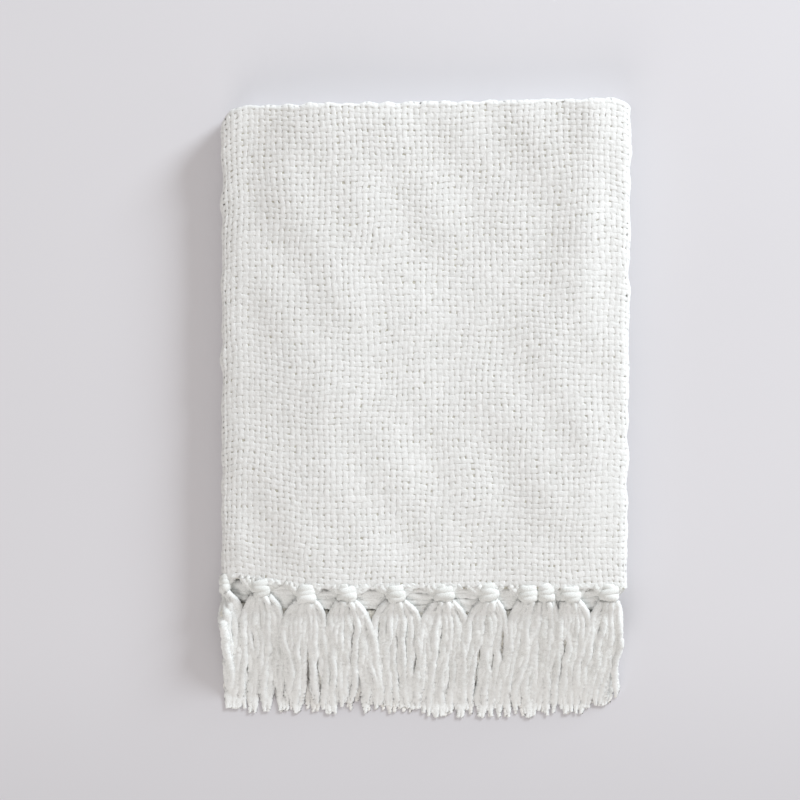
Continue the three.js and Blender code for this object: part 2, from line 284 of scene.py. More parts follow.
# %% Height tables
# Place and share of the neat height, from left to right and from the hem to the far fold
HEIGHT_ACROSS = np.array([
    (-212, 1.03), (-209, 0.95), (-206, 0.865), (-203, 0.817), (-197, 0.782), (-190, 0.783), (-176, 0.815),
    (-139, 0.928), (-102, 0.985), (-70, 0.98), (-8, 0.933), (35, 0.915), (77, 0.93), (116, 0.973),
    (147, 0.998), (168, 1), (190, 0.957), (199, 0.942), (205, 0.97), (209, 1.02), (212, 1.06)])
HEIGHT_ALONG = np.array([
    (0, 0.92), (0.15, 0.94), (0.5, 0.935), (0.74, 0.925), (0.86, 0.955), (0.955, 1), (0.985, 1),
    (0.994, 1.02), (1, 1.05)])


def smooth_table(table, place):
    """A smooth curve through a table of places and values."""
    x, y = table.T
    last = len(x) - 1
    row = np.arange(last + 1)
    before = np.maximum(row - 1, 0)
    after = np.minimum(row + 1, last)
    slope = (y[after] - y[before]) / (x[after] - x[before])
    at = np.clip(place, x[0], x[last])
    i = np.clip(np.searchsorted(x, at, side="right") - 1, 0, last - 1)
    width = x[i + 1] - x[i]
    share = (at - x[i]) / width
    rest = 1 - share
    bend = width * share * rest * (slope[i] * rest - slope[i + 1] * share)
    return y[i] * (1 + 2 * share) * rest ** 2 + y[i + 1] * share ** 2 * (1 + 2 * rest) + bend


print("shares at the left roll, hollow and crest:", smooth_table(HEIGHT_ACROSS, np.array([-197, 35, 168])))

# %% [markdown]
# ## Creases and mottle
# The finer creases are listed one by one, each as a soft trough, or a swell, along a line, and a slow mottle
# makes the rest uneven. The mottle is a sum of a few long waves that run in all directions, which has no
# grain and no edges. All of it scales the height, so every layer below follows and the underside stays
# level.

# %% Creases and mottle
MOTTLE = 0.5
STACK_HEIGHT = 44.4
# From x, y to x, y, half width and depth, all in millimetres; a depth below zero is a swell
CREASES = [(176, 240, 160, 70, 28, -2.2)]
rng = np.random.default_rng(41)


def plane_waves(count, shortest, longest):
    size = 2 * np.pi / rng.uniform(shortest, longest, count)
    turn = rng.uniform(0, 2 * np.pi, count)
    return np.stack([size * np.cos(turn), size * np.sin(turn), rng.uniform(0, 2 * np.pi, count)], axis=1)


def ripple(waves, u, v):
    total = sum(np.sin(ku * u + kv * v + phase) for ku, kv, phase in waves)
    return total / np.sqrt(len(waves) / 2)


MOTTLE_WAVES = plane_waves(9, 38, 110)
PUCKER_WAVES = plane_waves(8, 14, 45)


def creased(x, y):
    depth = MOTTLE * ripple(MOTTLE_WAVES, x, y)
    for x0, y0, x1, y1, half_width, deep in CREASES:
        run = np.array([x1 - x0, y1 - y0])
        share = np.clip(((x - x0) * run[0] + (y - y0) * run[1]) / (run @ run), 0, 1)
        off = np.hypot(x - x0 - share * run[0], y - y0 - share * run[1])
        depth = depth + deep * np.exp(-(off / half_width) ** 2)
    return depth / STACK_HEIGHT


print("creases:", len(CREASES), "depth in the middle, mm:", round(creased(0.0, 0.0) * STACK_HEIGHT, 2))

# %% [markdown]
# ## The settled stack
# The plan settles too: the right side leans, the far corners pull in, and the hem is drawn in at the left,
# all as in the solid. The outer edges pucker, because the yarns there pull unevenly, and the far fold is
# drawn in by a little. The puckers fade out towards the hem. The thin sheet has too few points to follow
# them, so it isn't puckered and keeps behind its yarns instead.

# %% Settled place
CORNER_START, LEFT_CORNER, RIGHT_CORNER = 182.0, 13.0, 7.0
HEM_DRAWN_IN, DRAWN_FROM, DRAWN_TO = 10.0, -124.9, -189.3
# Creases and puckers are there in full from a twelfth of the length on
FADE_IN = 12
PUCKER = 0.7
PUCKER_FROM, PUCKER_REACH, FAR_PUCKER_REACH = 195.2, 16.0, 25.4
# How far the far fold is drawn in and the sheet keeps behind its yarns, as multiples of a pucker
FAR_DRAWN, SHEET_BEHIND = 2.0, 2.0


def settle(points, puckered=True):
    """Settled place of points of the neat stack."""
    x, y, z = np.moveaxis(points, -1, 0)
    along = (y - HEM_Y) / STACK_LENGTH
    corner = np.maximum(0, np.abs(x) - CORNER_START) / (HALF_WIDTH - CORNER_START)
    pull = np.where(x < 0, LEFT_CORNER, RIGHT_CORNER) * corner ** 2
    fade = np.clip(along * FADE_IN, 0, 1)
    share = smooth_table(HEIGHT_ACROSS, x) * smooth_table(HEIGHT_ALONG, along) - fade * creased(x, y)
    lean = LEAN * (HEM_Y + (y - HEM_Y) * (x / STACK_WIDTH + 0.5))
    drawn = HEM_DRAWN_IN * np.clip((DRAWN_FROM - x) / (DRAWN_FROM - DRAWN_TO), 0, 1) * (1 - along)
    side = fade * np.clip((np.abs(x) - PUCKER_FROM) / PUCKER_REACH, 0, 1)
    far = np.clip((along - 1) * STACK_LENGTH / FAR_PUCKER_REACH + 1, 0, 1)
    pucker = ripple(PUCKER_WAVES, y, x) if puckered else -SHEET_BEHIND
    settled_x = x + lean + PUCKER * side * pucker * np.sign(x)
    settled_y = y + (SLANT * x - pull) * along + drawn + PUCKER * far * (pucker - FAR_DRAWN)
    return np.stack([settled_x, settled_y, z * share], axis=-1)


hem_ends = np.array([[-HALF_WIDTH, HEM_Y, 0], [HALF_WIDTH, HEM_Y, 0]])
print("left and right end of the hem:", settle(hem_ends).round(1).tolist())

# %% [markdown]
# ## Points of the cloth
# Any point of the weave is then found in two walks: along the lengthwise folds for its place in the band
# of three layers, and across for the place of that band in the stack. The yarns lie on the faces of the
# cloth and not on its middle, so they stand out by a face height, up and down but not lengthwise, which
# keeps the length of the stack as it is.

# %% Cloth points
FACE = 0.9
FACING_STEP = 1.5


def on_cloth(along, across, out, lift=LAYER_PITCH, puckered=True):
    """Points of the folded cloth: along it from the hem, across it, and out of its middle face."""
    y, h, ny, nh = follow(FOLDS_ALONG, along)
    h = h + (out + FACE) * nh
    x, z, nx, nz = follow(FOLDS_ACROSS, across, lift)
    return settle(np.stack(np.broadcast_arrays(x + h * nx, y + out * ny, z + h * nz), axis=-1), puckered)


def facing(along, across, lift=LAYER_PITCH):
    """Direction that the outer side of the cloth faces."""
    along, across = np.broadcast_arrays(along, across)

    def beside(forwards, sideways):
        return on_cloth(along + forwards, across + sideways, np.array(0.0), lift)

    ahead = beside(FACING_STEP, 0) - beside(-FACING_STEP, 0)
    aside = beside(0, FACING_STEP) - beside(0, -FACING_STEP)
    out = np.cross(ahead, aside)
    return out / np.linalg.norm(out, axis=-1, keepdims=True)


print("middle of the top:", on_cloth(np.array(250.0), np.array(620.0), np.array(0.0)).round(1),
      "faces", facing(np.array(250.0), np.array(620.0)).round(2))

# %% [markdown]
# ## Tubes from arrays
# A cloth of thousands of crossings is too much to model by hand, so its meshes come from arrays: each
# yarn is a row of rings, each ring has a few points, and neighbouring rings are joined by quads. A part
# is its points, its corners, the size of each face, a map of turns round and metres along the yarn, and
# a tone and a lie for each point, which is the direction that the cloth or the pile faces there.

# %% Tube maker
def tube_part(rings, tone, lie=(0.0, 0.0, 1.0)):
    """Closed tubes from rings[yarn, ring, side, xyz] in millimetres, each ring ccw about the run."""
    yarns, count, sides, _ = rings.shape
    index = np.arange(yarns * count * sides).reshape(yarns, count, sides)
    turned = np.roll(index, -1, axis=2)
    quads = np.stack([index[:, :-1], turned[:, :-1], turned[:, 1:], index[:, 1:]], axis=-1).reshape(-1, 4)
    caps = np.concatenate([index[:, 0, ::-1], index[:, -1]])
    middle_line = rings.mean(axis=2)
    steps = np.linalg.norm(np.diff(middle_line, axis=1), axis=-1)
    run = np.concatenate([np.zeros((yarns, 1)), np.cumsum(steps, axis=1)], axis=1) * MM
    start = np.broadcast_to(run[:, :-1, None], (yarns, count - 1, sides))
    stop = np.broadcast_to(run[:, 1:, None], start.shape)
    side = np.broadcast_to(np.arange(sides) / sides, start.shape)
    after = side + 1 / sides
    quad_map = np.stack([side, start, after, start, after, stop, side, stop], axis=-1).reshape(-1, 2)
    cap_map = np.full((caps.size, 2), 0.5)
    return {
        "points": rings.reshape(-1, 3),
        "corners": np.concatenate([quads.ravel(), caps.ravel()]),
        "sizes": np.concatenate([np.full(len(quads), 4), np.full(len(caps), sides)]),
        "map": np.concatenate([quad_map, cap_map]),
        "tone": np.broadcast_to(tone[..., None], rings.shape[:3]).ravel(),
        "lie": np.broadcast_to(np.asarray(lie), rings.shape).reshape(-1, 3),
    }


print("faces of a tube of 3 rings:", len(tube_part(np.zeros((1, 3, 5, 3)), np.zeros((1, 3)))["sizes"]))

# %% [markdown]
# ## Pieces
# Parts that belong together are joined into one piece, whose object sits at the origin. The arrays are
# handed to the mesh in one go, which is far quicker than adding faces one by one. No point goes below
# the floor.


def make_piece(name, parts, material):
    starts = np.cumsum([0] + [len(p["points"]) for p in parts])
    points = np.concatenate([p["points"] for p in parts])
    points = (points + SHIFT) * MM
    points[:, 2] = np.maximum(points[:, 2], 0)
    corners = np.concatenate([p["corners"] + start for p, start in zip(parts, starts)])
    sizes = np.concatenate([p["sizes"] for p in parts])
    mesh = bpy.data.meshes.new(name)
    mesh.vertices.add(len(points))
    mesh.vertices.foreach_set("co", points.ravel())
    mesh.loops.add(len(corners))
    mesh.loops.foreach_set("vertex_index", corners.astype(np.int32))
    mesh.polygons.add(len(sizes))
    mesh.polygons.foreach_set("loop_start", (np.cumsum(sizes) - sizes).astype(np.int32))
    mesh.update(calc_edges=True)
    mesh.polygons.foreach_set("use_smooth", np.ones(len(sizes), bool))
    mesh.uv_layers.new(name="yarn").uv.foreach_set(
        "vector", np.concatenate([p["map"] for p in parts]).astype(np.float32).ravel())
    mesh.attributes.new("tone", "FLOAT", "POINT").data.foreach_set(
        "value", np.concatenate([p["tone"] for p in parts]).astype(np.float32))
    mesh.attributes.new("lie", "FLOAT_VECTOR", "POINT").data.foreach_set(
        "vector", np.concatenate([p["lie"] for p in parts]).astype(np.float32).ravel())
    mesh.validate()
    mesh.materials.append(material)
    piece = bpy.data.objects.new(name, mesh)
    bpy.context.scene.collection.objects.link(piece)
    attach(piece, "root")
    return piece


# %% [markdown]
# ## Yarn finishes
# The yarn is a soft, brushed, off-white boucle: matt, with a fuzz of fine fibres that lights up where
# it is seen edge on. So it is fully rough, with a little sheen, and a fine bump stands for the fibres. They
# are finer than a picture point, so the bump is drawn at 1.1 mm to show at all. Fibres stand out to all
# sides, so a fuzzy yarn is shaded more softly than a smooth tube: a share of the direction that it is
# shaded by is the lie of the cloth or the pile, much in the weave and little in the fringe. The tone that
# every yarn carries makes some a little greyer than others, as spun yarn is. The noise that raises the
# fibres also colours them, lighter where they stand up and greyer in the hollows between them: that grey
# is painted shade.

# %% Yarn finish
FIBRE = 1.1 * MM
CURL = 2.6 * MM
RELIEF = 1.0 * MM


def yarn_material(name, light, grey_and_hollow_shade, bump, fuzz_share):
    material, tree, shader = new_material(name)
    place = add_node(tree, "ShaderNodeTexCoord")
    fibres = add_node(tree, "ShaderNodeTexNoise", {
        "Vector": place.outputs["Object"], "Scale": 1 / FIBRE, "Detail": 2.0, "Roughness": 0.6})
    curls = add_node(tree, "ShaderNodeTexNoise", {
        "Vector": place.outputs["Object"], "Scale": 1 / CURL, "Detail": 1.0})
    relief = add_node(tree, "ShaderNodeMath", {
        0: fibres.outputs["Fac"], 1: curls.outputs["Fac"]}, operation="ADD")
    lie = add_node(tree, "ShaderNodeAttribute", attribute_name="lie")
    lie = add_node(tree, "ShaderNodeVectorTransform", {
        "Vector": lie.outputs["Vector"]}, vector_type="NORMAL", convert_from="OBJECT", convert_to="WORLD")
    form = add_node(tree, "ShaderNodeNewGeometry")
    softened = add_node(tree, "ShaderNodeMix", {
        "Factor": fuzz_share, "A": form.outputs["Normal"], "B": lie.outputs["Vector"]}, data_type="VECTOR")
    softened = add_node(tree, "ShaderNodeVectorMath", {0: softened.outputs["Result"]}, operation="NORMALIZE")
    raised = add_node(tree, "ShaderNodeBump", {
        "Height": relief.outputs["Value"], "Strength": bump, "Distance": RELIEF,
        "Normal": softened.outputs["Vector"]})
    tone = add_node(tree, "ShaderNodeAttribute", attribute_name="tone")
    # Painted shade: the colour turns greyer where the fibre noise is low, in the hollows of the bump, as well
    # as with each yarn's own tone
    tone_with_hollow_shade = add_node(tree, "ShaderNodeMath", {
        0: fibres.outputs["Fac"], 1: 2.0, 2: tone.outputs["Fac"]}, operation="MULTIPLY_ADD")
    tone_with_hollow_shade = add_node(tree, "ShaderNodeMath", {
        0: tone_with_hollow_shade.outputs["Value"], 1: 1.0}, operation="SUBTRACT", use_clamp=True)
    colour = add_node(tree, "ShaderNodeMix", {
        "Factor": tone_with_hollow_shade.outputs["Value"], "A": linear(grey_and_hollow_shade), "B": linear(light)}, data_type="RGBA")
    tree.links.new(colour.outputs["Result"], shader.inputs["Base Color"])
    tree.links.new(raised.outputs["Normal"], shader.inputs["Normal"])
    shader.inputs["Roughness"].default_value = 1.0
    shader.inputs["Specular IOR Level"].default_value = 0.15
    shader.inputs["Sheen Weight"].default_value = 0.1
    shader.inputs["Sheen Roughness"].default_value = 0.6
    return material


print("fibre, mm:", FIBRE / MM, "curl, mm:", CURL / MM)

# %% Boucle yarn materials
# Brushed boucle yarn: soft white, matt, a touch greyer in the hollows of its fibres, which is painted shade.
boucle_yarn = yarn_material("brushed_boucle_yarn", "#f6f7f6", "#e6e7e5", 0.4, 0.4)
# The same yarn at its cut ends, combed out by handling: lighter where it stands out, greyer in its hollows.
# The same yarn in the fringe, painted lighter than the cloth's: painted light where the fringe slopes away
# from the window and lies in the stack's shade. Lighter where its fibres stand out, greyer in their hollows,
# as painted shade.
fringe_painted_lighter = yarn_material("boucle_fringe_painted_lighter", "#fcfefd", "#dee0dc", 0.18, 0.1)
# The fringe of the hidden rows, only seen in gaps, is a copy of the yarn in painted shade: warm, as light
# that comes through the yarns above it is.
hidden_fringe_painted_shade = yarn_material("boucle_hidden_fringe_painted_shade", "#fbfbf9", "#e8e5d7", 0.18, 0.1)
# The ground between the yarns is painted shade: warm and dim down in the gaps, light only at the free
# selvedge.
ground_painted_shade = yarn_material("boucle_ground_painted_shade", "#f1f0ec", "#c9c7ba", 0.4, 0.5)
print("materials:", [m.name for m in (boucle_yarn, fringe_painted_lighter, hidden_fringe_painted_shade, ground_painted_shade)])

# %% [markdown]
# ## The folded sheet
# Under the yarns lies the cloth itself, one thin sheet that goes through every fold from the hem to the
# tucked end and from the middle band to the free selvedge. A simulated sheet would not keep nine layers
# apart, so it is laid along the fold tables: a grid of points, a little to the inner side of each layer,
# with a rim, so that it is closed. The grid is closer on the rolls than on the straight runs.

# %% Sheet grid
SHEET_STEP, ROLL_STEPS = 11.0, 10


def grid_line(folds):
    places, start = [0.0], 0.0
    for length, (u0, u1, *_) in zip(fold_lengths(folds), folds):
        steps = ROLL_STEPS if u0 == u1 else int(np.ceil(length / SHEET_STEP))
        places += list(start + length * np.arange(1, steps + 1) / steps)
        start += length
    return np.array(places)


print("grid:", len(grid_line(FOLDS_ALONG)), "by", len(grid_line(FOLDS_ACROSS)))

# %% Folded sheet
SHEET_IN, SHEET_THICK = -0.75, 1.0
# The painted shade of the ground in the gaps, how much lighter it is at the free selvedge, and where it turns
# lighter
GAP_PAINTED_SHADE, SELVEDGE_LIGHTER = -0.1, 1.1
SELVEDGE_FROM, SELVEDGE_FADE = 14, 10


def sheet_part(along, across):
    rows, columns = len(along), len(across)
    faces = [
        on_cloth(along[:, None], across[None, :], np.array(SHEET_IN + side * SHEET_THICK / 2), 0.0, False)
        for side in (1, -1)]
    index = np.arange(rows * columns).reshape(rows, columns)
    upper = np.stack([index[:-1, :-1], index[1:, :-1], index[1:, 1:], index[:-1, 1:]], axis=-1).reshape(-1, 4)
    rim = np.concatenate([index[:-1, 0], index[-1, :-1], index[:0:-1, -1], index[0, :0:-1]])
    ahead = np.roll(rim, -1)
    below = rows * columns
    sides = np.stack([ahead, rim, rim + below, ahead + below], axis=-1)
    quads = np.concatenate([upper, upper[:, ::-1] + below, sides])
    spread = np.stack(np.broadcast_arrays(across[None, :], along[:, None]), axis=-1).reshape(-1, 2) * MM
    selvedge = np.clip((across - FLAT_WIDTH + SELVEDGE_FROM) / SELVEDGE_FADE, 0, 1)
    selvedge = np.broadcast_to(selvedge, (rows, columns)).ravel()
    outwards = facing(along[:, None], across[None, :], 0.0).reshape(-1, 3)
    return {
        "points": np.concatenate([f.reshape(-1, 3) for f in faces]),
        "corners": quads.ravel(),
        "sizes": np.full(len(quads), 4),
        "map": np.concatenate([spread, spread])[quads.ravel()],
        # Painted shade in the gaps, lifted towards the free selvedge, where the ground shows in the open
        "tone": np.concatenate([selvedge, selvedge]) * SELVEDGE_LIGHTER + GAP_PAINTED_SHADE,
        "lie": np.concatenate([outwards, -outwards]),
    }


sheet_parts = [sheet_part(grid_line(FOLDS_ALONG), grid_line(FOLDS_ACROSS))]
sheet = make_piece("folded_sheet", sheet_parts, ground_painted_shade)
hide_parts("throw")

# %% [markdown]
# ## The weave
# In a plain weave every yarn goes over one, under one. Each yarn is a flattened tube that rises over its
# even neighbours and dips under its odd ones. It puffs up where it is free and is squeezed where it is
# crossed, so it stands up as a row of soft, round pillows with a small dark gap at each corner. A bump
# map could paint that, but the edge of the cloth would stay smooth, so the yarns are real. The yarn is
# uneven: it wanders, swells and thins, and here and there it has a slub. All of it drifts together a
# little, as hand-laid rows do.

# %% Yarn sizes
PITCH = 6.1
YARN_HALF_WIDTH, YARN_HALF_HEIGHT = 2.68, 0.42
CRIMP = 0.16
# Rings to a crossing, and what is left of the yarn at its cut end
RINGS, CUT_END = 3, 0.6
# Across and up, as shares of the half width and half height: a flat back and a broad, level top
SECTION = np.array([[1.0, -0.4], [0.68, 0.55], [0.0, 1.0], [-0.68, 0.55], [-1.0, -0.4]])
# Shares of the width and of the height: the puff between crossings, lumps, and slow swelling or fine nap
PUFF_WIDE, LUMP_WIDE, SWELL_WIDE = 0.17, 0.09, 0.05
PUFF_HIGH, LUMP_HIGH, NAP_HIGH = 0.28, 0.1, 0.08
SLUB = 0.35
# How unevenly a yarn rises, wanders and stands out in fuzz, in millimetres but for the first
RISE_UNEVEN, RISE_STRAY = 0.12, 0.04
WANDER_SLOW, WANDER_QUICK = 0.36, 0.32
FUZZ_ASIDE, FUZZ_OUT = 0.14, 0.06
YARN_TONE, TONE_ALONG, TONE_APART = 0.5, 0.14, 0.07
DRIFT = 1.1
DRIFT_WAVES = [plane_waves(7, 55, 240) for _ in range(2)]
print("yarns to 10 cm:", round(100 / PITCH, 1))

# %% [markdown]
# ## Open and close places
# A soft weave like this one isn't even: in some places the yarns are pulled thin and the gaps stand open,
# and round the right roll they are pushed together. Each place is a round, soft spot in which the yarns
# lose, or gain, a small share of their width. A smoothed row of random numbers serves for all the rest.

# %% Openness and noise
# Across the cloth, along it, reach and share of the width that is missing; below zero it is gained
OPEN = [(785.0, 440.0, 75.0, 0.06), (600.0, 400.0, 110.0, 0.045), (470.0, 430.0, 50.0, 0.04)]
OPEN += [(415.0, along, 60.0, -0.05) for along in (80.0, 190.0, 300.0, 410.0)]


def openness(along, across):
    """How much thinner the yarns are where the weave is open."""
    return sum(share * np.exp(-((along - y) ** 2 + (across - x) ** 2) / reach ** 2)
               for x, y, reach, share in OPEN)


def smooth_noise(rows, columns, span):
    window = np.hanning(2 * span + 3)[1:-1]
    raw = rng.standard_normal((rows, columns + len(window) - 1))
    return np.array([np.convolve(row, window, "valid") for row in raw]) / np.sqrt((window ** 2).sum())


print("widest open place:", round(openness(440.0, 785.0), 3))

# %% Yarn maker
def yarns(numbers, crossed, over, warp):
    """Rings of yarns with these numbers, from the first to past the last of those that they cross."""
    count = (crossed[1] - crossed[0]) * RINGS + 1
    run = crossed[0] + np.arange(count) / RINGS
    number = np.arange(*numbers)[:, None]
    shape = (len(number), count)
    puff = over * np.cos(np.pi * (run - 0.5 + number))
    lumps = smooth_noise(*shape, 2)
    rise = CRIMP * puff * (1 + RISE_UNEVEN * smooth_noise(*shape, 3)) + RISE_STRAY * smooth_noise(*shape, 2)
    width = 1 + PUFF_WIDE * puff + LUMP_WIDE * lumps + SWELL_WIDE * smooth_noise(*shape, 12)
    height = 1 + PUFF_HIGH * puff + LUMP_HIGH * lumps + NAP_HIGH * smooth_noise(*shape, 1)
    line, reach = (number + 0.5) * PITCH, run * PITCH
    thinner = openness(reach, line) if warp else openness(line, reach)
    width, height = YARN_HALF_WIDTH * width * (1 - thinner), YARN_HALF_HEIGHT * height
    slubs = shape[0] // 2
    for yarn, ring in zip(rng.integers(0, shape[0], slubs), rng.integers(0, count, slubs)):
        slub = np.exp(-((np.arange(count) - ring) / (RINGS * rng.uniform(0.7, 1.6))) ** 2)
        width[yarn] *= 1 + SLUB * slub
        height[yarn] *= 1 + SLUB * slub
    for end in (0, -1):
        width[:, end] *= CUT_END
        height[:, end] *= CUT_END
    middle = line + (WANDER_SLOW * smooth_noise(*shape, 5) + WANDER_QUICK * smooth_noise(*shape, 2))
    fuzz = rng.standard_normal((2, *shape, len(SECTION)))
    sideways = width[..., None] * SECTION[:, 0] + FUZZ_ASIDE * fuzz[0]
    out = rise[..., None] + height[..., None] * SECTION[:, 1] + FUZZ_OUT * fuzz[1]
    if warp:
        along, across = np.broadcast_arrays(reach[None, :, None], middle[..., None] + sideways)
    else:
        along, across = np.broadcast_arrays(middle[..., None] - sideways, reach[None, :, None])
    drift = [DRIFT * ripple(waves, along, across) for waves in DRIFT_WAVES]
    tone = YARN_TONE + TONE_ALONG * smooth_noise(*shape, 4) + TONE_APART * rng.standard_normal((shape[0], 1))
    along, across = along + drift[0], across + drift[1]
    return on_cloth(along, across, out), np.clip(tone, 0, 1), facing(along, across)


def warps(numbers, crossed):
    return tube_part(*yarns(numbers, crossed, 1, True))


def wefts(numbers, crossed):
    return tube_part(*yarns(numbers, crossed, -1, False))


outer = np.cumsum(fold_lengths(FOLDS_ACROSS, LAYER_PITCH))
inner = np.cumsum(fold_lengths(FOLDS_ALONG))
print("right roll, top, left roll start at:", outer.round(1), "lengthwise folds end at:", inner.round(1))

# %% [markdown]
# ## Yarns of the outer layer
# What shows from above is one layer: round the right roll, over the top and down the left roll, from the
# hem to past the far roll. Its warps run along and its wefts across. Four pieces keep each mesh light.

# %% Outer layer
PAST_ROLL = 9
FIRST_WARP, LAST_WARP = int((outer[0] - PAST_ROLL) / PITCH), int((outer[3] + PAST_ROLL) / PITCH)
LAST_WEFT = int((inner[1] + PAST_ROLL) / PITCH)
half_warp, half_weft = (FIRST_WARP + LAST_WARP) // 2, LAST_WEFT // 2
WARP_RUN, WEFT_RUN = (0, LAST_WEFT), (FIRST_WARP, LAST_WARP)

yarn_pieces = [
    make_piece("warp_yarns_right", [warps((FIRST_WARP, half_warp), WARP_RUN)], boucle_yarn),
    make_piece("warp_yarns_left", [warps((half_warp, LAST_WARP), WARP_RUN)], boucle_yarn),
    make_piece("weft_yarns_near", [wefts((0, half_weft), WEFT_RUN)], boucle_yarn),
    make_piece("weft_yarns_far", [wefts((half_weft, LAST_WEFT), WEFT_RUN)], boucle_yarn),
]
print("outer layer:", LAST_WARP - FIRST_WARP, "warps,", LAST_WEFT, "wefts")

# %% [markdown]
# ## Yarns along the other edges
# Seen from the sides, the folds below show too: the far rolls of the two lower bands, the small rolls
# by the hem, the hems that carry the hidden rows of knots, and the free selvedge on the right. Each gets
# a strip of the same weave, just wide enough to go round its edge; deeper in, the plain sheet is enough.

# %% Edge strips
LAST_ACROSS, LAST_ALONG = int(outer[4] / PITCH), int(inner[4] / PITCH)
STRIP_YARNS = 3
SELVEDGE_WARPS = LAST_ACROSS - STRIP_YARNS
LOWER_BANDS = [(0, FIRST_WARP), (LAST_WARP, SELVEDGE_WARPS)]
LOWER_HEM = (0, STRIP_YARNS)
STRIP = 10.0


def strip(across, along):
    return [warps(across, along), wefts(along, across)]


def lower_strips(along):
    return [part for band in LOWER_BANDS for part in strip(band, along)]


far_fold = (int((inner[0] - STRIP) / PITCH), int((inner[1] + STRIP) / PITCH))
near_fold = (int((inner[2] - STRIP) / PITCH), int((inner[3] + STRIP) / PITCH))
yarn_pieces += [
    make_piece("far_fold_yarns", lower_strips(far_fold), boucle_yarn),
    make_piece("near_fold_yarns", strip((0, SELVEDGE_WARPS), near_fold), boucle_yarn),
    make_piece("lower_hem_yarns", lower_strips(LOWER_HEM), boucle_yarn),
    make_piece("selvedge_yarns", strip((SELVEDGE_WARPS, LAST_ACROSS), (0, LAST_ALONG)), boucle_yarn),
]

# %% [markdown]
# ## Where the tassels hang
# The knots stand along the hem as unevenly as they were tied, ten on top and more in the two hidden
# rows, and one on the side of the left roll. Each has up to eight strands, which spread out from the
# knot until they lie side by side. Names, places and ends are those of the solids.

# %% Tassel rows
FRINGE = 127.0
KNOT_WIDTH, THIN_KNOT_WIDTH, KNOT_LENGTH, KNOT_HEIGHT = 20.0, 17.0, 14.0, 11.0
KNOT_PITCH, KNOT_GAP, KNOT_DROOP = 45.4, 0.3, 1.6
STRANDS, TIP_PITCH = 8, 3.9
FRINGE_LEFT, FRINGE_RIGHT, SIDE_TIPS_RIGHT = -214.0, 204.0, -192.0
TOP_KNOTS = np.array([-169, -122, -80, -29, 21, 68, 108, 127, 152, 192], float)
THIN_KNOT = 7
# Name, knots, height of the band, side of it, lowest place of a knot, left end of the tips
ROWS = [
    ("top", TOP_KNOTS, TOP_Z, 1, 28.0, SIDE_TIPS_RIGHT),
    ("middle", -149.5 + KNOT_PITCH * np.arange(8), MIDDLE_Z, -1, 14.3, SIDE_TIPS_RIGHT),
    ("bottom", -174.5 + KNOT_PITCH * np.arange(9), BOTTOM_Z, -1, KNOT_HEIGHT / 2, FRINGE_LEFT),
]


def hem_point(x, z):
    """Settled place of points at the hem of the neat stack."""
    return settle(np.stack(np.broadcast_arrays(x, HEM_Y, z), axis=-1))


def tips_between(left, right):
    count = min(STRANDS, int((right - left) / TIP_PITCH))
    return left + (right - left) * (np.arange(count) + 0.5) / count


tassels = []
for row_number, (row, knots, z, out, lowest, tips_left) in enumerate(ROWS):
    places = hem_point(knots, z + out * LAYER_PITCH)
    places[:, 1] = hem_point(knots + KNOT_WIDTH / 3, 0.0)[:, 1] - KNOT_GAP
    places[:, 2] = np.maximum(lowest, places[:, 2] - KNOT_DROOP)
    edges = np.concatenate([[tips_left], (places[1:, 0] + places[:-1, 0]) / 2, [FRINGE_RIGHT]])
    for i, place in enumerate(places):
        thin = row == "top" and i == THIN_KNOT
        tassels.append({
            "node": f"tassel_{row}_{i + 1}",
            "number": row_number * len(TOP_KNOTS) + i,
            "row": row,
            "place": place,
            "knot": knots[i],
            "width": THIN_KNOT_WIDTH if thin else KNOT_WIDTH,
            "turned": False,
            "tips": tips_between(edges[i], edges[i + 1]),
        })
print("tassels:", len(tassels), "strands:", sum(len(t["tips"]) for t in tassels))

# %% Side tassel
# Its knot sits on the side of the left roll, turned to stand on end
SIDE_ANGLE = np.radians(169)
SIDE_KNOT_INSET = 2.5
SIDE_REACH = LEFT_ROLL + LAYER_PITCH - SIDE_KNOT_INSET
side_place = hem_point(
    LEFT_ROLL_X + SIDE_REACH * np.cos(SIDE_ANGLE), MIDDLE_Z + SIDE_REACH * np.sin(SIDE_ANGLE))
tassels.append({
    "node": "tassel_side",
    "number": len(TOP_KNOTS) * len(ROWS),
    "row": "side",
    "place": side_place - [0, KNOT_GAP, 0],
    "knot": None,
    "width": KNOT_WIDTH,
    "turned": True,
    "tips": tips_between(FRINGE_LEFT, SIDE_TIPS_RIGHT),
})
print("side tassel at:", tassels[-1]["place"].round(1))

# %% [markdown]
# ## Round yarns along a path
# Gathered ends, wound knots and strands all run freely in space, so they need rings set square to their
# path. The run of the path and one fixed direction give two directions across it. A strand is three
# plies twisted together: its ring has three lobes, and the lobes turn as it goes. Loose fibres make it
# lumpy, so every point stands a little in or out.

# %% Ring maker
def smoothstep(value, low, high):
    share = np.clip((value - low) / (high - low), 0, 1)
    return share * share * (3 - 2 * share)


def tube_rings(path, radius, turn, stretch=(1.0, 1.0), up=(0.0, 0.0, 1.0)):
    """Rings round path[yarn, point, xyz]; radius[yarn, point, side], turned by turn[yarn, point]."""
    run = np.gradient(path, axis=1)
    run /= np.linalg.norm(run, axis=-1, keepdims=True)
    side = np.cross(run, up)
    side /= np.linalg.norm(side, axis=-1, keepdims=True)
    other = np.cross(run, side)
    sides = radius.shape[-1]
    angle = 2 * np.pi * np.arange(sides) / sides + turn[..., None]
    first = (stretch[0] * radius * np.cos(angle))[..., None] * side[..., None, :]
    second = (stretch[1] * radius * np.sin(angle))[..., None] * other[..., None, :]
    return path[..., None, :] + first + second


def path_lengths(path):
    steps = np.linalg.norm(np.diff(path, axis=1), axis=-1)
    return np.concatenate([np.zeros((len(path), 1)), np.cumsum(steps, axis=1)], axis=1)


